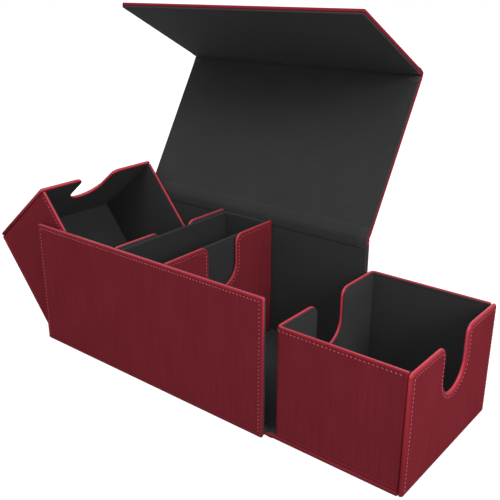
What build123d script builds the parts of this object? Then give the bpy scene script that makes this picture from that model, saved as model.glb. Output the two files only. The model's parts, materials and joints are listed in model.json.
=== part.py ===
from build123d import *
import os
from math import cos, radians, sin

# A card box in wrapped board: an open-ended case with a hinged lid and a magnetic flap, two card
# trays that fold out of its ends, and a lift-out insert between two notched walls.
# Millimetres. The origin is the middle of the case's underside, +X runs along the case to the
# tray that lies folded out flat, +Z is up, and the lid's hinge is along the back, at +Y.

os.makedirs("parts", exist_ok=True)

# ---- driving dimensions ------------------------------------------------------------------

case_length = 224.0
case_depth = 128.0
wall_height = 100.0          # front and back wall of the case
middle_width = 52.0          # over the outsides of the two notched walls
notch_radius = 16.0
notch_depth = 37.5
shoulder_radius = 7.0
insert_wall = 2.4
insert_floor = 2.0
insert_pad = 1.0
insert_rim_drop = 1.6        # the insert's rim below the tops of the notched walls
magnet_radius = 6.0
magnet_thickness = 1.6
magnet_spacing = 150.0
magnet_margin = 16.0         # centre of a magnet from the flap's free edge

# Board construction
stiff_thickness = 4.0        # front wall, back wall, lid and flap
thin_thickness = 3.0         # floor, notched walls and the panels of the trays
skin_thickness = 0.8
lining_thickness = 1.4       # padded sheet over the whole inner face of a panel
lining_inset = 0.6           # lining's edge in from the panel's edge
turned_edge = 2.1            # skin turned over a board's edge, measured across the panel
corner_radius = 2.6
roll_share = 0.45            # radius of a rolled edge, as a share of its layer's thickness

# Angles of the pose that the solids are drawn in
lid_open_angle = 120.5       # 0 is closed
flap_spread_angle = -2.7     # 0 is square to the lid, as when the box is shut
left_tilt_angle = 51.0       # 0 lies flat beside the case, 90 is folded in
right_tilt_angle = 0.0

# Clearances
board_gap = 0.15             # between a board's edge and the skin turned round it
lid_gap = 0.6                # shut lid above the walls, and shut flap before the front wall
wing_side_gap = 0.6          # folded-in tray to the front and back walls
wing_top_gap = 0.6           # folded-in tray to the shut lid's level
bay_gap = 4.3                # folded-in tray to the notched wall
middle_top_gap = 0.4         # notched wall below the rims of the front and back walls
insert_gap = 0.35            # around the insert
flap_foot_gap = 1.0          # shut flap above the ground
magnet_gap = 0.1
hinge_gap = 0.3              # between a hinge strip and the panel that turns on it
tray_seam = 0.8              # open seam between the tray's side walls and its end panel
tray_ledge = 1.0             # base panel standing out beyond the tray's side walls
inner_wall_start = 6.5       # tray's near wall from the fold, along the base
base_start_gap = 1.0         # folded-up base panel above the floor
least_radius = 0.2           # where a rounded corner is drawn in past its centre

# ---- derived sizes -----------------------------------------------------------------------

half_length = case_length / 2
half_depth = case_depth / 2
inner_half_depth = half_depth - stiff_thickness
middle_half = middle_width / 2

strip_radius = stiff_thickness / 2          # lid and flap hinge strips
strip_neck = 0.6 * stiff_thickness
fold_radius = skin_thickness                # thin strips that the trays fold on

lid_axis_y = half_depth - strip_radius
lid_axis_z = wall_height + lid_gap + strip_radius
lid_reach = lid_axis_y + half_depth + lid_gap + strip_radius
flap_reach = lid_axis_z - flap_foot_gap

wing_half_width = inner_half_depth - wing_side_gap
wing_reach = wall_height - wing_top_gap - fold_radius
tray_height = half_length - middle_half - bay_gap
tray_half_width = wing_half_width - tray_ledge
base_start = thin_thickness + base_start_gap - fold_radius
end_inside = wing_reach - thin_thickness
tray_end = end_inside - tray_seam
middle_wall_height = wall_height - middle_top_gap - thin_thickness
floor_end_gap = fold_radius + hinge_gap     # floor panel's end to a fold's axis

X = Vector(1, 0, 0)
Y = Vector(0, 1, 0)
Z = Vector(0, 0, 1)


# ---- building blocks ---------------------------------------------------------------------

def save(builder, name):
    builder.part.label = name
    export_step(builder.part, f"parts/{name}.step")


def panel_plane(origin, up, outward):
    """The plane of a panel's outer face, from the middle of its lower edge."""
    return Plane(origin=origin, x_dir=up.cross(outward), z_dir=outward)


def draw_outline(sketch, width, height, inset=0.0, notched=False):
    """Draws a panel's outline, drawn in by inset, in the sketch that is open."""
    with Locations((0, height / 2)):
        Rectangle(width - 2 * inset, height - 2 * inset)
    fillet(sketch.vertices(), max(corner_radius - inset, least_radius))
    if notched:
        radius = notch_radius + inset
        centre_height = height - notch_depth + notch_radius
        neck_height = height - inset - centre_height
        with Locations((0, centre_height)):
            Circle(radius, mode=Mode.SUBTRACT)
        with Locations((0, centre_height + neck_height / 2)):
            Rectangle(2 * radius, neck_height, mode=Mode.SUBTRACT)
        top_corners = sketch.vertices().group_by(Axis.Y)[-1].sort_by(Axis.X)
        fillet(top_corners[1:-1], shoulder_radius - inset)


def wrapped_panel(name, plane, width, height, thickness,
                  notched=False, magnet_height=None, tab_length=0.0):
    """A board with a skin over its outer face and edges, and a padded lining behind both.

    With a tab_length, the skin runs on past the lower edge as a thin tab to fold on.
    """
    wrapped_depth = thickness - lining_thickness
    board_depth = wrapped_depth - skin_thickness
    core_inset = turned_edge + board_gap
    through = Axis(plane.origin, plane.z_dir)

    with BuildPart() as cover:
        with BuildSketch(plane) as face:
            draw_outline(face, width, height, 0.0, notched)
        extrude(amount=-wrapped_depth)
        outer_rim = cover.faces().sort_by(through)[-1].edges()
        inner_rim = cover.faces().sort_by(through)[0].edges()
        fillet(outer_rim + inner_rim, roll_share * wrapped_depth)
        with BuildSketch(plane.offset(-wrapped_depth)) as pocket:
            draw_outline(pocket, width, height, turned_edge, notched)
        extrude(amount=board_depth, mode=Mode.SUBTRACT)
        if tab_length:
            tab_root = turned_edge - board_gap
            with BuildSketch(plane):
                with Locations((0, (tab_root - tab_length) / 2)):
                    Rectangle(width - 2 * corner_radius, tab_root + tab_length)
            extrude(amount=-2 * fold_radius)
    save(cover, f"{name}_cover")

    with BuildPart() as board:
        with BuildSketch(plane.offset(-skin_thickness)) as core:
            draw_outline(core, width, height, core_inset, notched)
        extrude(amount=-board_depth)
        if magnet_height is not None:
            with BuildSketch(plane.offset(-skin_thickness)):
                with Locations((0, magnet_height)):
                    with GridLocations(magnet_spacing, 1, 2, 1):
                        Circle(magnet_radius + magnet_gap)
            extrude(amount=-board_depth, mode=Mode.SUBTRACT)
    save(board, f"{name}_board")

    with BuildPart() as lining:
        with BuildSketch(plane.offset(-wrapped_depth)) as sheet:
            draw_outline(sheet, width, height, lining_inset, notched)
        extrude(amount=-lining_thickness)
        inner_rim = lining.faces().sort_by(through)[0].edges()
        fillet(inner_rim, roll_share * lining_thickness)
    save(lining, f"{name}_lining")


def magnet_pair(name, plane, magnet_height):
    """Two disc magnets in a panel's board, against the back of its skin."""
    with BuildPart() as magnets:
        with BuildSketch(plane.offset(-skin_thickness)):
            with Locations((0, magnet_height)):
                with GridLocations(magnet_spacing, 1, 2, 1):
                    Circle(magnet_radius)
        extrude(amount=-magnet_thickness)
    save(magnets, name)


def hinge_strip(name, profile_plane, radius, neck_width, neck_length, length):
    """A strip that a panel turns on: a round roll on a neck that runs down its own -Y."""
    with BuildPart() as strip:
        with BuildSketch(profile_plane):
            Circle(radius)
            with Locations((0, -neck_length / 2)):
                Rectangle(neck_width, neck_length)
        extrude(amount=length / 2, both=True)
    save(strip, name)


# ---- case --------------------------------------------------------------------------------

front_plane = panel_plane(-Y * half_depth, Z, -Y)
back_plane = panel_plane(Y * half_depth, Z, Y)
floor_plane = panel_plane(Y * inner_half_depth, -Y, -Z)
floor_length = 2 * (half_length - fold_radius - floor_end_gap)
front_magnet_height = flap_foot_gap + magnet_margin

wrapped_panel("front_wall", front_plane, case_length, wall_height, stiff_thickness,
              magnet_height=front_magnet_height)
magnet_pair("front_wall_magnets", front_plane, front_magnet_height)
wrapped_panel("back_wall", back_plane, case_length, wall_height, stiff_thickness)
wrapped_panel("floor", floor_plane, floor_length, 2 * inner_half_depth, thin_thickness)

for side, label in ((-1, "left"), (1, "right")):
    middle_plane = panel_plane(X * side * middle_half + Z * thin_thickness, Z, X * side)
    wrapped_panel(f"middle_{label}_wall", middle_plane, 2 * inner_half_depth,
                  middle_wall_height, thin_thickness, notched=True)

# ---- lift-out insert ---------------------------------------------------------------------

insert_length = middle_width - 2 * (thin_thickness + insert_gap)
insert_depth = 2 * (inner_half_depth - insert_gap)
insert_height = middle_wall_height - insert_rim_drop
insert_base = Plane.XY.offset(thin_thickness)

with BuildPart() as insert_box:
    with BuildSketch(insert_base):
        RectangleRounded(insert_length, insert_depth, insert_wall / 2)
    extrude(amount=insert_height)
    with BuildSketch(insert_base.offset(insert_floor)):
        Rectangle(insert_length - 2 * insert_wall, insert_depth - 2 * insert_wall)
    extrude(amount=insert_height, mode=Mode.SUBTRACT)
    fillet(insert_box.faces().sort_by(Axis.Z)[-1].edges(), roll_share * insert_wall)
save(insert_box, "insert_box")

with BuildPart() as insert_pad_sheet:
    with BuildSketch(insert_base.offset(insert_floor)):
        Rectangle(insert_length - 2 * (insert_wall + board_gap),
                  insert_depth - 2 * (insert_wall + board_gap))
    extrude(amount=insert_pad)
save(insert_pad_sheet, "insert_pad")

# ---- lid and flap ------------------------------------------------------------------------

lid_angle = radians(lid_open_angle)
lid_axis = Y * lid_axis_y + Z * lid_axis_z
lid_out = Z * sin(lid_angle) - Y * cos(lid_angle)      # from the hinge towards the fold
lid_outward = Z * cos(lid_angle) + Y * sin(lid_angle)  # off the lid's outer face
lid_start = strip_radius + hinge_gap
lid_height = lid_reach - 2 * lid_start
lid_plane = panel_plane(lid_axis + lid_out * lid_start + lid_outward * strip_radius,
                        lid_out, lid_outward)

hinge_strip("lid_hinge_strip", Plane(origin=lid_axis, x_dir=Y, z_dir=X),
            strip_radius, strip_neck, lid_axis_z - wall_height, case_length - 2 * corner_radius)
wrapped_panel("lid", lid_plane, case_length, lid_height, stiff_thickness)

flap_angle = radians(flap_spread_angle)
flap_axis = lid_axis + lid_out * lid_reach
flap_out = lid_out * sin(flap_angle) - lid_outward * cos(flap_angle)
flap_outward = lid_out * cos(flap_angle) + lid_outward * sin(flap_angle)
flap_height = flap_reach - lid_start
flap_plane = panel_plane(flap_axis + flap_out * lid_start + flap_outward * strip_radius,
                         flap_out, flap_outward)
flap_magnet_height = flap_height - magnet_margin

hinge_strip("flap_hinge_strip", Plane(origin=flap_axis, x_dir=lid_outward, z_dir=X),
            strip_radius, strip_neck, lid_start, case_length - 2 * corner_radius)
wrapped_panel("flap", flap_plane, case_length, flap_height, stiff_thickness,
              magnet_height=flap_magnet_height)
magnet_pair("flap_magnets", flap_plane, flap_magnet_height)

# ---- fold-out trays ----------------------------------------------------------------------

for side, label, tilt in ((-1, "left", left_tilt_angle), (1, "right", right_tilt_angle)):
    fold_axis = X * side * (half_length - fold_radius) + Z * fold_radius
    along = X * side * cos(radians(tilt)) + Z * sin(radians(tilt))   # from the fold outwards
    rise = Z * cos(radians(tilt)) - X * side * sin(radians(tilt))    # up, off the base panel
    bottom = fold_axis - rise * fold_radius
    base_top = bottom + rise * thin_thickness

    hinge_strip(f"{label}_fold_strip",
                Plane(origin=fold_axis, x_dir=-Z * side, z_dir=-Y),
                fold_radius, 2 * fold_radius, floor_end_gap, 2 * wing_half_width)

    base_plane = panel_plane(bottom + along * base_start, along, -rise)
    wrapped_panel(f"{label}_tray_base", base_plane, 2 * wing_half_width,
                  end_inside - base_start, thin_thickness,
                  tab_length=base_start - fold_radius - hinge_gap)

    end_plane = panel_plane(bottom + along * wing_reach, rise, along)
    wrapped_panel(f"{label}_tray_end", end_plane, 2 * wing_half_width,
                  tray_height, thin_thickness, notched=True)

    near_plane = panel_plane(base_top + along * inner_wall_start, rise, -along)
    wrapped_panel(f"{label}_tray_near_wall", near_plane, 2 * (tray_half_width - thin_thickness),
                  tray_height - thin_thickness, thin_thickness, notched=True)

    side_wall_middle = base_top + along * (inner_wall_start + tray_end) / 2
    for facing, wall in ((-Y, "front"), (Y, "back")):
        wall_plane = panel_plane(side_wall_middle + facing * tray_half_width, rise, facing)
        wrapped_panel(f"{label}_tray_{wall}_wall", wall_plane, tray_end - inner_wall_start,
                      tray_height - thin_thickness, thin_thickness)
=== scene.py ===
"""The looks of a fold-out card box: wrapped panels, stitching, hinges, linings and the studio."""
import json
import math

import bmesh
import bpy
from mathutils import Matrix, Vector


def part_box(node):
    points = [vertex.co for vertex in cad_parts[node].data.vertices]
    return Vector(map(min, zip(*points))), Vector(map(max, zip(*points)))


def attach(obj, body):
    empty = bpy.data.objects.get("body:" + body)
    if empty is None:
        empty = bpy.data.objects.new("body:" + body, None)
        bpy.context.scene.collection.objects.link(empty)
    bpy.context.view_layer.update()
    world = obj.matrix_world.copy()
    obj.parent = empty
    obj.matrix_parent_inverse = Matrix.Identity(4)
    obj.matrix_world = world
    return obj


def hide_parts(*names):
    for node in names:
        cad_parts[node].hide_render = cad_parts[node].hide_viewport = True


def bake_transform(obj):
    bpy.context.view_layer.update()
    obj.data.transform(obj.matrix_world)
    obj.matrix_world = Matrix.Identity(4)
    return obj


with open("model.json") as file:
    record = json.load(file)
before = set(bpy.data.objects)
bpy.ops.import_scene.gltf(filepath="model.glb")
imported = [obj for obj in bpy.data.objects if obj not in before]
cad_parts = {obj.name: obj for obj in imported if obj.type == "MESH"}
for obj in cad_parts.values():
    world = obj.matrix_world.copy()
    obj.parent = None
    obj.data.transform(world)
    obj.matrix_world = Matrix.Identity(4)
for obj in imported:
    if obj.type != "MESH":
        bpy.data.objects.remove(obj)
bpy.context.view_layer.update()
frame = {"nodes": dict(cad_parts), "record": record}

MM = 0.001
X = Vector((1, 0, 0))
Y = Vector((0, 1, 0))
Z = Vector((0, 0, 1))

# ---- sizes, read from the frame ----------------------------------------------------------

joints = {joint["name"]: joint for joint in frame["record"]["behaviour"]["joints"]}
lid_axis = Vector(joints["lid_hinge"]["pos_m"])
flap_axis = Vector(joints["flap_hinge"]["pos_m"])
left_axis = Vector(joints["left_tray_fold"]["pos_m"])
right_axis = Vector(joints["right_tray_fold"]["pos_m"])
flap_spread = math.radians(90 - joints["flap_hinge"]["range_deg"][1])
left_tilt = math.radians(-joints["left_tray_fold"]["range_deg"][0])

front_low, front_high = [Vector(corner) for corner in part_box("front_wall_cover")]
floor_low, floor_high = [Vector(corner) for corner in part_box("floor_cover")]
front_inside = Vector(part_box("front_wall_lining")[1])
floor_inside = Vector(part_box("floor_lining")[1])
middle_low, middle_high = [Vector(corner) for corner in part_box("middle_right_wall_cover")]
base_board_low = Vector(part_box("right_tray_base_board")[0])
end_high = Vector(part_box("right_tray_end_cover")[1])
near_low = Vector(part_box("right_tray_near_wall_cover")[0])
side_low, side_high = [Vector(corner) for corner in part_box("right_tray_front_wall_cover")]

half_length = front_high.x
half_depth = -front_low.y
wall_height = front_high.z
stiff = front_inside.y - front_low.y
thin = floor_inside.z - floor_low.z
inner_half_depth = half_depth - stiff
wing_half_width = end_high.y
tray_half_width = -side_low.y
fold_radius = right_axis.z
skin_depths = {stiff: 2.7 * MM, thin: 2.2 * MM}     # how far in the skin reaches at an edge
lining_inset = 0.6 * MM
core_inset = 2.25 * MM          # a board's edge from its panel's edge
hinge_gap = 0.3 * MM            # a hinge strip to the panel that turns on it
flap_drop = 1.6 * MM            # flap's axis above the walls, less its foot above the ground
base_start = base_board_low.x - core_inset - right_axis.x
wing_reach = end_high.x - right_axis.x
inner_wall_start = near_low.x - right_axis.x
tray_end = side_high.x - right_axis.x
tray_height = end_high.z
lid_start = stiff / 2 + hinge_gap
flap_height = wall_height + flap_drop - lid_start

corner_radius = 1.5 * MM
end_corner_radius = 2.6 * MM    # of a tray's end panel
end_roll = 1.9 * MM             # where an end panel's face turns over its edge
notch_radius = 16.0 * MM
notch_depth = 37.5 * MM
shoulder_radius = 7.0 * MM
bend_radius = 3.6 * MM          # where a tray's skin turns from its near wall to its side walls
tape_leg = 1.4 * MM
seam_leg = 3.2 * MM
foot_leg = 2.4 * MM             # covers the skin turned over the end of a tray's base panel
foot_drop = 0.6 * MM            # a tray wall's rolled foot, pressed into the base panel
seam_overlap = 0.4 * MM         # side wall's skin to beyond its board, at the end panel
lid_reach = 8.0 * MM            # how far the hinge bands reach over their two panels
floor_reach = 5.0 * MM
base_reach = 6.0 * MM
lid_band_inset = 0.7 * MM       # the bands' ends in from the panels' edges
fold_band_inset = 0.2 * MM
fold_recess = 0.3 * MM          # fold band's outer face above the ground

lid_out = (flap_axis - lid_axis).normalized()
lid_outward = lid_out.cross(X)
flap_out = lid_out * math.sin(flap_spread) - lid_outward * math.cos(flap_spread)
flap_outward = lid_out * math.cos(flap_spread) + lid_outward * math.sin(flap_spread)


# ---- materials ---------------------------------------------------------------------------

def linear(red, green, blue):
    """An sRGB colour, 0 to 255, as linear light."""
    def one(value):
        value /= 255
        return value / 12.92 if value <= 0.04045 else ((value + 0.055) / 1.055) ** 2.4
    return (one(red), one(green), one(blue), 1.0)


def scaled(colour, share):
    return tuple(channel * share for channel in colour[:3]) + (1.0,)


class Nodes:
    """A short way to build a node material."""

    def __init__(self, name):
        self.material = bpy.data.materials.new(name)
        self.material.use_nodes = True
        self.tree = self.material.node_tree
        self.shader = self.tree.nodes["Principled BSDF"]

    def add(self, kind, inputs=None, **settings):
        node = self.tree.nodes.new(kind)
        for key, value in settings.items():
            setattr(node, key, value)
        for key, value in (inputs or {}).items():
            if isinstance(value, bpy.types.NodeSocket):
                self.tree.links.new(value, node.inputs[key])
            else:
                node.inputs[key].default_value = value
        return node

    def link(self, output, input_name):
        self.tree.links.new(output, self.shader.inputs[input_name])

    def stretched(self, source, scale):
        return self.add("ShaderNodeMapping", {"Vector": source, "Scale": scale}).outputs[0]

    def noise(self, vector, scale, detail=3.0, roughness=0.55):
        node = self.add("ShaderNodeTexNoise",
                        {"Vector": vector, "Scale": scale, "Detail": detail,
                         "Roughness": roughness})
        return node.outputs["Fac"]

    def ramp(self, value, low, high):
        node = self.add("ShaderNodeMapRange",
                        {"Value": value, "From Min": low, "From Max": high})
        return node.outputs[0]

    def mix(self, factor, first, second, blend="MIX"):
        node = self.add("ShaderNodeMix", data_type="RGBA", blend_type=blend)
        for index, value in ((0, factor), (6, first), (7, second)):
            if isinstance(value, bpy.types.NodeSocket):
                self.tree.links.new(value, node.inputs[index])
            else:
                node.inputs[index].default_value = value
        return node.outputs[2]

    def maths(self, operation, first, second):
        return self.add("ShaderNodeMath", {0: first, 1: second}, operation=operation).outputs[0]

    def bump(self, height, strength, distance):
        node = self.add("ShaderNodeBump",
                        {"Height": height, "Strength": strength, "Distance": distance})
        self.link(node.outputs[0], "Normal")


def red_skin_material():
    """Coated red cloth with fine upright streaks; glossier where rolled, with a painted highlight
    there.

    The streaks follow the panel's own width and height in metres, kept as its UV. "edge" is the
    rolled edge's share at each point, from the panel's section: it sets the gloss, and the painted
    highlight, a brighter red with a painted pink glint along the rims' crest.
    """
    n = Nodes("red_skin")
    uv = n.add("ShaderNodeTexCoord").outputs["UV"]
    edge = n.add("ShaderNodeAttribute", attribute_name="edge").outputs["Fac"]
    streak = n.noise(n.stretched(uv, (1600.0, 30.0, 1.0)), 1.0, 2.0, 0.6)
    band = n.noise(n.stretched(uv, (620.0, 16.0, 1.0)), 1.0, 1.0, 0.5)
    pore = n.noise(uv, 1500.0, 1.0, 0.5)
    cloud = n.noise(n.stretched(uv, (38.0, 22.0, 1.0)), 1.0, 2.0, 0.5)
    face = n.mix(n.ramp(streak, 0.32, 0.68), linear(100, 32, 39), linear(110, 36, 44))
    face = n.mix(n.ramp(band, 0.3, 0.7), face,
                 n.mix(1.0, face, linear(250, 248, 248), "MULTIPLY"))
    face = n.mix(n.ramp(cloud, 0.3, 0.75), face,
                 n.mix(1.0, face, linear(243, 240, 240), "MULTIPLY"))
    # painted highlight: the rims are mixed to a brighter red by their "edge" share
    rolled = n.mix(edge, face, linear(142, 30, 43))
    # painted glint: a pink core along the crest of each rim
    painted_glint_mask = n.maths("POWER", edge, 5.0)
    n.link(n.mix(painted_glint_mask, rolled, linear(182, 70, 84)), "Base Color")
    rough = n.maths("MULTIPLY_ADD", edge, -0.26)
    rough.node.inputs[2].default_value = 0.58
    n.link(rough, "Roughness")
    n.link(n.maths("MULTIPLY", n.ramp(edge, 0.25, 1.0), 0.24), "Specular IOR Level")
    n.shader.inputs["Specular Tint"].default_value = linear(255, 190, 196)
    height = n.maths("ADD", streak, n.maths("MULTIPLY", pore, 0.35))
    n.bump(height, 0.5, 0.00004)
    return n.material


def black_material(name, colour, fleck_scale, bump_distance):
    """Matt black microfibre with a short nap and faint rubbed clouds."""
    n = Nodes(name)
    place = n.add("ShaderNodeTexCoord").outputs["Object"]
    nap = n.noise(place, fleck_scale, 4.0, 0.7)
    cloud = n.noise(place, 26.0, 3.0, 0.6)
    base = n.mix(n.ramp(nap, 0.3, 0.7), scaled(colour, 0.72), scaled(colour, 1.35))
    rubbed = n.maths("MULTIPLY", n.ramp(cloud, 0.45, 0.8), 0.4)
    n.link(n.mix(rubbed, base, scaled(colour, 1.5)), "Base Color")
    n.link(n.ramp(nap, -3.2, 1.1), "Roughness")
    n.bump(nap, 0.35, bump_distance)
    n.shader.inputs["Sheen Weight"].default_value = 0.03
    n.shader.inputs["Sheen Roughness"].default_value = 0.5
    n.shader.inputs["Specular IOR Level"].default_value = 0.1
    return n.material


def thread_material():
    n = Nodes("thread")
    place = n.add("ShaderNodeTexCoord").outputs["Object"]
    twist = n.noise(place, 2600.0, 2.0, 0.6)
    n.link(n.mix(twist, linear(140, 52, 61), linear(190, 92, 101)), "Base Color")
    n.bump(twist, 0.4, 0.0001)
    n.shader.inputs["Roughness"].default_value = 0.6
    return n.material


def board_material():
    n = Nodes("grey_board")
    place = n.add("ShaderNodeTexCoord").outputs["Object"]
    fibre = n.noise(place, 900.0, 5.0, 0.7)
    n.link(n.mix(fibre, linear(122, 114, 102), linear(156, 148, 134)), "Base Color")
    n.bump(fibre, 0.4, 0.0001)
    n.shader.inputs["Roughness"].default_value = 0.92
    return n.material


def magnet_material():
    n = Nodes("magnet_plating")
    place = n.add("ShaderNodeTexCoord").outputs["Object"]
    scratch = n.noise(place, 1400.0, 3.0, 0.6)
    n.link(n.mix(scratch, linear(150, 152, 156), linear(190, 192, 196)), "Base Color")
    n.link(n.ramp(scratch, -0.8, 3.0), "Roughness")
    n.shader.inputs["Metallic"].default_value = 1.0
    return n.material


RED = red_skin_material()
LINING = black_material("black_lining", linear(42, 42, 42), 1500.0, 0.00006)
INSERT = black_material("black_insert", linear(37, 37, 37), 1200.0, 0.00005)
THREAD = thread_material()
BOARD = board_material()
MAGNET = magnet_material()

for name, node in frame["nodes"].items():
    if name.endswith("_board"):
        finish = BOARD
    elif name.endswith("_magnets"):
        finish = MAGNET
    elif name.startswith("insert"):
        finish = INSERT
    elif name.endswith("_lining"):
        finish = LINING
    else:
        finish = RED
    node.data.materials.clear()
    node.data.materials.append(finish)


# ---- mesh helpers ------------------------------------------------------------------------

def make_object(name, vertices, faces, materials, uvs=None, edges=None, slots=None, smooth=True):
    mesh = bpy.data.meshes.new(name)
    mesh.from_pydata([tuple(v) for v in vertices], [], faces)
    for material in materials:
        mesh.materials.append(material)
    if uvs:
        layer = mesh.uv_layers.new(name="UVMap")
        for loop in mesh.loops:
            layer.data[loop.index].uv = uvs[loop.vertex_index]
    if edges:
        attribute = mesh.attributes.new("edge", "FLOAT", "POINT")
        attribute.data.foreach_set("value", edges)
    if slots:
        mesh.polygons.foreach_set("material_index", slots)
    mesh.polygons.foreach_set("use_smooth", [smooth] * len(mesh.polygons))
    mesh.update()
    piece = bpy.data.objects.new(name, mesh)
    bpy.context.scene.collection.objects.link(piece)
    return piece


def arc(centre_x, centre_y, radius, start, end, steps):
    points = []
    for step in range(steps + 1):
        angle = math.radians(start + (end - start) * step / steps)
        points.append((centre_x + radius * math.cos(angle), centre_y + radius * math.sin(angle)))
    return points


CORNER_STEPS = 6
NOTCH_STEPS = 28


def outline(panel, inset):
    """A panel's outline drawn in by inset, always with as many points, from its lower left."""
    height = panel.height
    radius = max(panel.corner - inset, 0.25 * MM)
    side = panel.width / 2 - inset - radius
    low = inset + radius
    high = height - inset - radius
    points = arc(-side, low, radius, 180, 270, CORNER_STEPS)
    points += arc(side, low, radius, 270, 360, CORNER_STEPS)
    points += arc(side, high, radius, 0, 90, CORNER_STEPS)
    if panel.notched:
        notch = notch_radius + inset
        shoulder = max(shoulder_radius - inset, 0.4 * MM)
        centre = height - notch_depth + notch_radius
        top = height - inset
        points += arc(notch + shoulder, top - shoulder, shoulder, 90, 180, CORNER_STEPS)
        points += arc(0, centre, notch, 0, -180, NOTCH_STEPS)
        points += arc(-notch - shoulder, top - shoulder, shoulder, 0, 90, CORNER_STEPS)
    points += arc(-side, high, radius, 90, 180, CORNER_STEPS)
    return points


class Panel:
    """Where one wrapped panel lies: the middle of its lower edge on its outer face.

    With a bend_radius it turns back by a quarter at bend_start either side of its middle.
    """

    def __init__(self, name, body, origin, up, outward, width, height, thickness,
                 notched=False, stitched="", skin_depth=None, face_roll=None, corner=None,
                 dark_ends=False, bend_start=0.0, bend_radius=0.0, nodes=None):
        self.name = name
        self.body = body
        self.origin = Vector(origin)
        self.up = Vector(up)
        self.outward = Vector(outward)
        self.across = self.up.cross(self.outward)
        self.width = width
        self.height = height
        self.thickness = thickness
        self.notched = notched
        self.stitched = stitched
        self.skin_depth = skin_depth or skin_depths[thickness]
        self.face_roll = face_roll or ROLL_SHARE * self.skin_depth
        self.corner = corner or corner_radius
        self.dark_ends = dark_ends
        self.bend_start = bend_start
        self.bend_radius = bend_radius
        self.nodes = nodes or [name]

    def at(self, x, y, z):
        run = abs(x) - self.bend_start
        if not self.bend_radius or run <= 0:
            return self.origin + self.across * x + self.up * y + self.outward * z
        sideways = self.across * math.copysign(1, x)
        angle = min(run / self.bend_radius, math.pi / 2)
        beyond = run - angle * self.bend_radius
        centre = self.origin + sideways * self.bend_start - self.outward * self.bend_radius
        radial = self.outward * math.cos(angle) + sideways * math.sin(angle)
        tangent = sideways * math.cos(angle) - self.outward * math.sin(angle)
        return centre + radial * (self.bend_radius + z) + tangent * beyond + self.up * y

    def cuts(self):
        """Where its flat mesh is cut across, so that it can follow the bends."""
        if not self.bend_radius:
            return []
        quarter = self.bend_radius * math.pi / 2
        places = [self.bend_start + quarter * step / BEND_STEPS for step in range(BEND_STEPS + 1)]
        return [-place for place in places] + places


BEND_STEPS = 8
STITCH_INSET = 2.9 * MM
BEAD_HEIGHT = 0.16 * MM
ROLL_SHARE = 0.45               # of the skin's depth, the radius of its rolled rims
PAD_ROLL_SHARE = 0.3            # of the pad's depth, the radius of the lining's rims
SIDE_GLOSS_AND_HIGHLIGHT = 0.1                 # how much of the rims' gloss and painted highlight shows away from the upper edge
LID_GLOSS_AND_HIGHLIGHT = 0.3                  # and how much round the lid and its flap
HIGHLIGHT_FADE_LOW = 5.0 * MM        # below the upper edge, where its gloss and painted highlight start to show
HIGHLIGHT_FADE_RUN = 3.0 * MM        # and over what height it comes to the full
END_SKIN = 0.9 * MM             # how far in the skin reaches at an end that the lining covers
END_TURN = 1.9 * MM             # how far round that end the lining is turned


def cover_profile(panel):
    """The skin's section as (inset, height over the outer face, share of gloss and
    painted highlight).

    It runs from the turned-over edge at the back, round both rolled rims, over the raised bead
    and down into the sewn groove.
    """
    back = -panel.skin_depth
    roll = ROLL_SHARE * panel.skin_depth
    # the third values peak on the outer roll, where the gloss and painted highlight are strongest
    profile = [(roll + 0.6 * MM, back + 0.4 * MM, 0.2), (roll + 0.3 * MM, back + 0.3 * MM, 0.2),
               (roll + 0.16 * MM, back + 0.02 * MM, 0.4)]
    for step in range(6):
        angle = math.radians(18 * step)
        profile.append((roll * (1 - math.sin(angle)), back + roll * (1 - math.cos(angle)),
                        0.4 + 0.12 * step))
    for step in range(1, 6):
        angle = math.radians(18 * step)
        profile.append((panel.face_roll * (1 - math.cos(angle)),
                        -panel.face_roll * (1 - math.sin(angle)), 1.0 - 0.17 * step))
    profile += [(max(1.45 * MM, panel.face_roll + 0.1 * MM), BEAD_HEIGHT, 0.12),
                (max(1.9 * MM, panel.face_roll + 0.2 * MM), BEAD_HEIGHT * 0.9, 0.05),
                (2.3 * MM, 0.04 * MM, 0.04), (STITCH_INSET, -0.16 * MM, 0.0),
                (3.4 * MM, -0.02 * MM, 0.0), (4.2 * MM, 0.0, 0.0), (7.0 * MM, 0.0, 0.0)]
    return profile


def lining_profile(panel):
    """The lining's section: a pad behind the skin, or a sheet let in where the skin turns over."""
    inner = -panel.thickness
    if panel.skin_depth < panel.thickness:
        roll = PAD_ROLL_SHARE * (panel.thickness - panel.skin_depth)
        profile = [(lining_inset + 0.4 * MM, -panel.skin_depth, 0.0),
                   (lining_inset, -panel.skin_depth - 0.15 * MM, 0.0)]
        for step in range(6):
            angle = math.radians(18 * step)
            profile.append((lining_inset + roll * (1 - math.cos(angle)),
                            inner + roll * (1 - math.sin(angle)), 0.0))
    else:
        start = ROLL_SHARE * panel.skin_depth + 0.2 * MM
        profile = [(start + 0.4 * MM, inner + 0.4 * MM, 0.0), (start, inner + 0.3 * MM, 0.0),
                   (start, inner + 0.04 * MM, 0.0), (start + 0.25 * MM, inner, 0.0)]
    profile += [(2.3 * MM, inner, 0.0), (2.6 * MM, inner + 0.03 * MM, 0.0),
                (STITCH_INSET, inner + 0.16 * MM, 0.0), (3.3 * MM, inner + 0.04 * MM, 0.0),
                (4.2 * MM, inner, 0.0)]
    return profile


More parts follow.
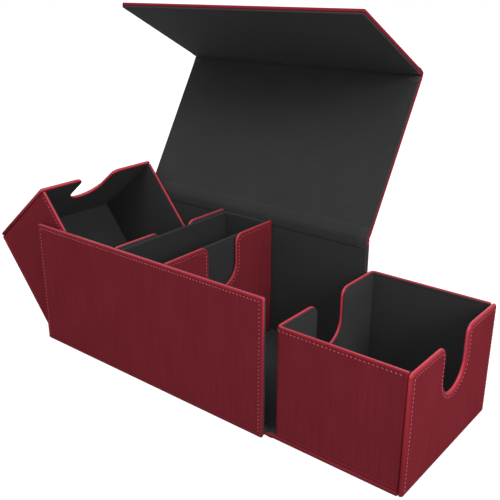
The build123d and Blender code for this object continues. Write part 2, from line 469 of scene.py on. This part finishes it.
def rim_gloss_and_highlight_share(panel, x, y):
    """The share of the rims' gloss and painted highlight at a place: whole along a wall's upper
    edge, which faces up to the light, and in its notch.
    """
    if not panel.stitched:
        return 0.0
    if panel.stitched == "round":
        return LID_GLOSS_AND_HIGHLIGHT
    if panel.notched and abs(x) < notch_radius + shoulder_radius:
        return 1.0
    rise = (y - panel.height + HIGHLIGHT_FADE_LOW) / HIGHLIGHT_FADE_RUN
    return SIDE_GLOSS_AND_HIGHLIGHT + (1 - SIDE_GLOSS_AND_HIGHLIGHT) * min(max(rise, 0.0), 1.0)


def lined_end(panel, vertices):
    """Whether a face of the skin lies on an end that the lining is turned over."""
    return panel.dark_ends and all(
        vertex.co.z < -END_SKIN and abs(vertex.co.x) > panel.width / 2 - END_TURN
        and vertex.co.y < panel.height - panel.corner for vertex in vertices)


def make_layer(panel, suffix, rings, material):
    """One layer of a panel, lofted through the rings of its section and closed at both ends."""
    sheet = bmesh.new()
    share = sheet.verts.layers.float.new("edge")
    loops = []
    for inset, height, edge in rings:
        loop = []
        for x, y in outline(panel, inset):
            vertex = sheet.verts.new((x, y, height))
            # the rims' gloss and painted highlight share, kept as the "edge" attribute
            vertex[share] = edge * rim_gloss_and_highlight_share(panel, x, y)
            loop.append(vertex)
        loops.append(loop)
    for low, high in zip(loops, loops[1:]):
        for k in range(len(low)):
            after = (k + 1) % len(low)
            corners = (low[k], low[after], high[after], high[k])
            face = sheet.faces.new(corners)
            face.material_index = int(lined_end(panel, corners))
    sheet.faces.new(loops[0][::-1])
    sheet.faces.new(loops[-1])
    if rings[0][1] > rings[-1][1]:
        bmesh.ops.reverse_faces(sheet, faces=sheet.faces)
    for place in panel.cuts():
        parts = list(sheet.verts) + list(sheet.edges) + list(sheet.faces)
        bmesh.ops.bisect_plane(sheet, geom=parts, dist=1e-6, plane_co=(place, 0, 0),
                               plane_no=(1, 0, 0))
    grain = sheet.loops.layers.uv.new("UVMap")
    for face in sheet.faces:
        face.smooth = True
        for loop in face.loops:
            x, y, height = loop.vert.co
            loop[grain].uv = (x, y + height)
    for vertex in sheet.verts:
        vertex.co = panel.at(*vertex.co)
    mesh = bpy.data.meshes.new(panel.name + suffix)
    sheet.to_mesh(mesh)
    sheet.free()
    mesh.materials.append(material)
    if panel.dark_ends:
        mesh.materials.append(LINING)
    piece = bpy.data.objects.new(mesh.name, mesh)
    bpy.context.scene.collection.objects.link(piece)
    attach(piece, panel.body)
    return piece


def make_panel(panel):
    """The skin with its raised, rolled edge and sewn groove, and the lining behind it."""
    skin = make_layer(panel, "_skin", cover_profile(panel), RED)
    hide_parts(*[name + "_cover" for name in panel.nodes])
    lining = make_layer(panel, "_pad", lining_profile(panel), LINING)
    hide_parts(*[name + "_lining" for name in panel.nodes])


# ---- stitching ---------------------------------------------------------------------------

STITCH_PITCH = 2.8 * MM
STITCH_LENGTH = 1.55 * MM
STITCH_RADIUS = 0.23 * MM
STITCH_SLANT = -0.42            # radians off the sewn line
# each section of a stitch: share of its length, share of its radius, height over the groove
STITCH_SECTIONS = ((-0.5, 0.35, -0.2 * MM), (-0.38, 0.9, 0.02 * MM), (0.0, 1.0, 0.02 * MM),
                   (0.38, 0.9, 0.02 * MM), (0.5, 0.35, -0.2 * MM))
STITCH_SIDES = 6


def stitch_path(panel):
    """The line that is sewn: all round, all but the lower edge, or the upper edge alone."""
    points = outline(panel, STITCH_INSET)
    corner = CORNER_STEPS + 1
    if panel.stitched == "round":
        return points + points[:1]
    if panel.stitched == "sides_and_top":
        return points[2 * corner - 1:] + points[:1]
    low = panel.width / 2 - STITCH_INSET
    high = panel.height - STITCH_INSET
    return [(low, high)] + points[3 * corner - 1:-corner + 1] + [(-low, high)]


def make_stitches(panel):
    path = stitch_path(panel)
    lengths = [0.0]
    for first, second in zip(path, path[1:]):
        lengths.append(lengths[-1] + math.dist(first, second))
    count = int(lengths[-1] / STITCH_PITCH)
    vertices, faces = [], []
    segment = 0
    for index in range(count):
        distance = (index + 0.5) * lengths[-1] / count
        while lengths[segment + 1] < distance:
            segment += 1
        first, second = path[segment], path[segment + 1]
        share = (distance - lengths[segment]) / (lengths[segment + 1] - lengths[segment])
        x = first[0] + (second[0] - first[0]) * share
        y = first[1] + (second[1] - first[1]) * share
        angle = math.atan2(second[1] - first[1], second[0] - first[0]) + STITCH_SLANT
        start = len(vertices)
        for along, swell, lift in STITCH_SECTIONS:
            for side in range(STITCH_SIDES):
                turn = 2 * math.pi * side / STITCH_SIDES
                across = math.cos(turn) * STITCH_RADIUS * swell
                height = math.sin(turn) * STITCH_RADIUS * swell + lift
                run = along * STITCH_LENGTH
                vertices.append(panel.at(x + run * math.cos(angle) - across * math.sin(angle),
                                         y + run * math.sin(angle) + across * math.cos(angle),
                                         height))
        for section in range(len(STITCH_SECTIONS) - 1):
            low = start + section * STITCH_SIDES
            for side in range(STITCH_SIDES):
                after = (side + 1) % STITCH_SIDES
                faces.append((low + side, low + STITCH_SIDES + side,
                              low + STITCH_SIDES + after, low + after))
        faces.append(tuple(start + side for side in range(STITCH_SIDES)))
        faces.append(tuple(len(vertices) - 1 - side for side in range(STITCH_SIDES)))
    piece = make_object(panel.name + "_stitches", vertices, faces, [THREAD])
    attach(piece, panel.body)


# ---- hinge bands -------------------------------------------------------------------------

BAND_STEPS = 24
BAND_GLOSS_AND_HIGHLIGHT = 0.15                # share of the rims' gloss and painted highlight on a band
FOLD_CREASE = 0.5               # share of the inner depth left in the crease of a tray's fold
LID_CREASE = 0.95


def make_band(name, nodes, axis, run_a, out_a, run_b, out_b,
              outer, inner, reach_a, reach_b, half_width, along, soft):
    """A strip of skin and lining that bends across a hinge.

    run_a and run_b point from the axis into each panel, and out_a and out_b off their outer
    faces. outer and inner are how far those faces lie from the axis, and soft is the share of
    the inner depth that is left in the crease.
    """
    section = []
    proud = 0.32 * MM
    for run, out, reach in ((run_a, out_a, reach_a), (run_b, out_b, reach_b)):
        side = [(reach, outer - 0.06 * MM), (reach * 0.82, outer + proud),
                (reach * 0.45, outer + proud), (reach * 0.2, outer + 0.1 * MM)]
        section.append([axis + run * s + out * h for s, h in side])
    outer_line = section[0] + [axis + (out_a + out_b).normalized() * outer * 0.96]
    outer_line += section[1][::-1]
    section = []
    for run, out, reach in ((run_a, out_a, reach_a), (run_b, out_b, reach_b)):
        side = [(reach, inner - 0.06 * MM), (reach * 0.85, inner + 0.16 * MM),
                (reach * 0.4, inner + 0.12 * MM), (reach * 0.16, inner * (soft + 1) / 2)]
        section.append([axis + run * s - out * h for s, h in side])
    inner_line = section[0] + [axis - (out_a + out_b).normalized() * inner * soft]
    inner_line += section[1][::-1]
    loop = outer_line + inner_line[::-1]
    count = len(loop)
    vertices, uvs, edges, slots, faces = [], [], [], [], []
    for step in range(BAND_STEPS + 1):
        shift = along * half_width * (2 * step / BAND_STEPS - 1)
        for index, point in enumerate(loop):
            vertices.append(point + shift)
            uvs.append((half_width * 2 * step / BAND_STEPS, index * MM))
            edges.append(BAND_GLOSS_AND_HIGHLIGHT)
    for step in range(BAND_STEPS):
        for k in range(count):
            after = (k + 1) % count
            low = step * count
            faces.append((low + k, low + after, low + count + after, low + count + k))
            slots.append(0 if k < len(outer_line) - 1 else 1)
    faces.append(tuple(range(count - 1, -1, -1)))
    faces.append(tuple(range(len(vertices) - count, len(vertices))))
    slots += [0, 0]
    piece = make_object(name, vertices, faces, [RED, LINING], uvs, edges, slots)
    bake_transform(piece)
    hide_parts(*nodes)


# ---- seams -------------------------------------------------------------------------------

TAPE_STEPS = 4


def make_tape(name, body, start, end, leg_a, leg_b):
    """A fillet of lining in an inner corner, from start to end; the legs lie on the two faces."""
    section = [Vector((0, 0, 0)), leg_a]
    for step in range(1, TAPE_STEPS):
        angle = math.pi / 2 * step / TAPE_STEPS
        section.append(leg_a * (1 - math.sin(angle)) + leg_b * (1 - math.cos(angle)))
    section.append(leg_b)
    count = len(section)
    vertices = [start + point for point in section] + [end + point for point in section]
    faces = [(k, (k + 1) % count, count + (k + 1) % count, count + k) for k in range(count)]
    faces += [tuple(range(count - 1, -1, -1)), tuple(range(count, 2 * count))]
    if (end - start).dot(leg_a.cross(leg_b)) < 0:
        faces = [face[::-1] for face in faces]
    piece = make_object(name, vertices, faces, [LINING], smooth=False)
    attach(piece, body)


# ---- the panels --------------------------------------------------------------------------

panels = [
    Panel("front_wall", "case", -Y * half_depth, Z, -Y, 2 * half_length, wall_height, stiff,
          stitched="sides_and_top", dark_ends=True),
    Panel("back_wall", "case", Y * half_depth, Z, Y, 2 * half_length, wall_height, stiff,
          stitched="sides_and_top", dark_ends=True),
    Panel("floor", "case", Y * inner_half_depth, -Y, -Z, floor_high.x - floor_low.x,
          2 * inner_half_depth, thin),
    Panel("lid", "lid", lid_axis + lid_out * lid_start + lid_outward * stiff / 2,
          lid_out, lid_outward, 2 * half_length,
          (flap_axis - lid_axis).length - 2 * lid_start, stiff, stitched="round"),
    Panel("flap", "flap", flap_axis + flap_out * lid_start + flap_outward * stiff / 2,
          flap_out, flap_outward, 2 * half_length, flap_height, stiff, stitched="round"),
]
for sign, label in ((-1, "left"), (1, "right")):
    panels.append(Panel(f"middle_{label}_wall", "case",
                        X * sign * middle_high.x + Z * middle_low.z, Z, X * sign,
                        2 * inner_half_depth, middle_high.z - middle_low.z, thin,
                        notched=True, stitched="top"))

for sign, label, tilt, axis in ((-1, "left", left_tilt, left_axis),
                                (1, "right", 0.0, right_axis)):
    body = f"{label}_tray"
    along = X * sign * math.cos(tilt) + Z * math.sin(tilt)
    rise = Z * math.cos(tilt) - X * sign * math.sin(tilt)
    bottom = axis - rise * fold_radius
    base_top = bottom + rise * thin
    wall_rise = tray_height - thin
    side_run = tray_end - inner_wall_start + seam_overlap
    bend_start = tray_half_width - bend_radius
    shell_width = 2 * (bend_start + bend_radius * (math.pi / 2 - 1) + side_run)
    panels += [
        Panel(f"{body}_base", body, bottom + along * base_start, along, -rise,
              2 * wing_half_width, wing_reach - thin - base_start, thin, skin_depth=thin),
        Panel(f"{body}_end", body, bottom + along * wing_reach, rise, along,
              2 * wing_half_width, tray_height, thin, notched=True,
              stitched="sides_and_top", skin_depth=thin, face_roll=end_roll,
              corner=end_corner_radius),
        Panel(f"{body}_shell", body,
              base_top + along * inner_wall_start - rise * foot_drop, rise, -along,
              shell_width, wall_rise + foot_drop, thin, notched=True, stitched="top",
              corner=foot_drop, bend_start=bend_start, bend_radius=bend_radius,
              nodes=[f"{body}_{wall}_wall" for wall in ("near", "front", "back")]),
    ]
    near_inside = base_top + along * (inner_wall_start + thin)
    end_inside = base_top + along * (wing_reach - thin)
    inside = tray_half_width - thin
    for y_sign, facing in ((-1, "front"), (1, "back")):
        corner = Y * y_sign * inside
        make_tape(f"{body}_{facing}_base_seam", body, near_inside + corner, end_inside + corner,
                  -Y * y_sign * tape_leg, rise * tape_leg)
        make_tape(f"{body}_{facing}_end_seam", body, end_inside + corner,
                  end_inside + corner + rise * (wall_rise - lining_inset),
                  -Y * y_sign * tape_leg, -along * seam_leg)
    make_tape(f"{body}_end_seam", body, end_inside - Y * inside, end_inside + Y * inside,
              -along * foot_leg, rise * tape_leg)
    make_tape(f"{body}_near_seam", body, near_inside - Y * inside, near_inside + Y * inside,
              along * tape_leg, rise * tape_leg)
    make_band(f"{label}_fold_band", [f"{label}_fold_strip"], axis,
              -X * sign, -Z, along, -rise, fold_radius - fold_recess, thin - fold_radius,
              floor_reach, base_reach, wing_half_width - fold_band_inset, Y, FOLD_CREASE)

floor_end = floor_high.x - lining_inset
for y_sign, facing in ((-1, "front"), (1, "back")):
    corner = Y * y_sign * inner_half_depth + Z * thin
    make_tape(f"floor_{facing}_seam", "case", corner - X * floor_end, corner + X * floor_end,
              -Y * y_sign * tape_leg, Z * tape_leg)

for panel in panels:
    make_panel(panel)
    if panel.stitched:
        make_stitches(panel)

make_band("lid_hinge_band", ["lid_hinge_strip"], lid_axis, -Z, Y,
          lid_out, lid_outward, stiff / 2, stiff / 2, lid_reach, lid_reach,
          half_length - lid_band_inset, X, LID_CREASE)
make_band("flap_hinge_band", ["flap_hinge_strip"], flap_axis, -lid_out,
          lid_outward, flap_out, flap_outward, stiff / 2, stiff / 2, lid_reach, lid_reach,
          half_length - lid_band_inset, X, LID_CREASE)


# ---- studio ------------------------------------------------------------------------------

FRAME_PIXELS = 500              # the photo's frame, which the camera values below belong to
SENSOR_WIDTH = 36.0
camera_azimuth = math.radians(40.34)
camera_elevation = math.radians(20.69)
camera_roll = math.radians(-0.47)
camera_distance = 477.1 * MM
camera_target = Vector((65.6, -43.0, 114.8)) * MM
focal_pixels = 729.6
centre_pixel = (226.4, 249.1)

LAMP_AIM = Vector((0, 0, 0.08))
STAGE_HALF = 6.0
STAGE_DROP = 0.2 * MM           # below the ground, so that no face lies in the floor
STAGE_GLOW = 0.8                # what lifts the floor to white where it is seen directly
WORLD_LIGHT = 0.85              # the sky's strength on the object


def make_camera():
    back = Vector((math.sin(camera_azimuth) * math.cos(camera_elevation),
                   -math.cos(camera_azimuth) * math.cos(camera_elevation),
                   math.sin(camera_elevation)))
    right = (-back).cross(Z).normalized()
    upward = back.cross(right)
    turned_right = right * math.cos(camera_roll) + upward * math.sin(camera_roll)
    turned_up = upward * math.cos(camera_roll) - right * math.sin(camera_roll)
    data = bpy.data.cameras.new("camera")
    data.sensor_width = SENSOR_WIDTH
    data.sensor_fit = "HORIZONTAL"
    data.lens = focal_pixels / FRAME_PIXELS * SENSOR_WIDTH
    data.shift_x = (FRAME_PIXELS / 2 - centre_pixel[0]) / FRAME_PIXELS
    data.shift_y = (centre_pixel[1] - FRAME_PIXELS / 2) / FRAME_PIXELS
    data.clip_start = 0.01
    camera = bpy.data.objects.new("camera", data)
    rotation = Matrix((turned_right, turned_up, back)).transposed().to_4x4()
    camera.matrix_world = Matrix.Translation(camera_target + back * camera_distance) @ rotation
    bpy.context.scene.collection.objects.link(camera)
    bpy.context.scene.camera = camera


def make_lamp(name, place, size, power):
    data = bpy.data.lights.new(name, "AREA")
    data.shape = "DISK"
    data.size = size
    data.energy = power
    lamp = bpy.data.objects.new(name, data)
    lamp.location = place
    lamp.rotation_euler = (LAMP_AIM - Vector(place)).to_track_quat("-Z", "Y").to_euler()
    bpy.context.scene.collection.objects.link(lamp)


def make_stage():
    corners = [(x * STAGE_HALF, y * STAGE_HALF, 0)
               for x, y in ((-1, -1), (1, -1), (1, 1), (-1, 1))]
    floor = make_object("stage_floor", corners, [(0, 1, 2, 3)], [stage_material()], smooth=False)
    floor.location.z = -STAGE_DROP


def stage_material():
    """A pale floor that camera rays see lifted to white, with the object's soft shadow on it."""
    n = Nodes("pale_floor")
    n.shader.inputs["Base Color"].default_value = (0.42, 0.42, 0.42, 1.0)
    n.shader.inputs["Roughness"].default_value = 0.95
    n.shader.inputs["Specular IOR Level"].default_value = 0.0
    n.shader.inputs["Emission Color"].default_value = (1.0, 1.0, 1.0, 1.0)
    n.link(n.maths("MULTIPLY", seen_directly(n.tree), STAGE_GLOW), "Emission Strength")
    return n.material


def seen_directly(tree):
    """1 for the rays that show the background: straight on, in a gloss or through glass."""
    path = tree.nodes.new("ShaderNodeLightPath")
    total = path.outputs["Is Camera Ray"]
    for name in ("Is Glossy Ray", "Is Transmission Ray"):
        node = tree.nodes.new("ShaderNodeMath")
        node.operation = "MAXIMUM"
        tree.links.new(total, node.inputs[0])
        tree.links.new(path.outputs[name], node.inputs[1])
        total = node.outputs[0]
    return total


def make_world():
    world = bpy.data.worlds.new("studio")
    world.use_nodes = True
    tree = world.node_tree
    background = tree.nodes["Background"]
    background.inputs["Color"].default_value = (1.0, 1.0, 1.0, 1.0)
    strength = tree.nodes.new("ShaderNodeMapRange")
    strength.inputs["To Min"].default_value = WORLD_LIGHT
    strength.inputs["To Max"].default_value = 1.0
    tree.links.new(seen_directly(tree), strength.inputs["Value"])
    tree.links.new(strength.outputs[0], background.inputs["Strength"])
    bpy.context.scene.world = world


make_camera()
make_stage()
make_world()
make_lamp("key", place=(1.5, -0.35, 0.95), size=0.8, power=21.0)
make_lamp("top", place=(0.2, -0.7, 1.5), size=0.9, power=11.5)
bpy.context.scene.view_settings.view_transform = "Standard"
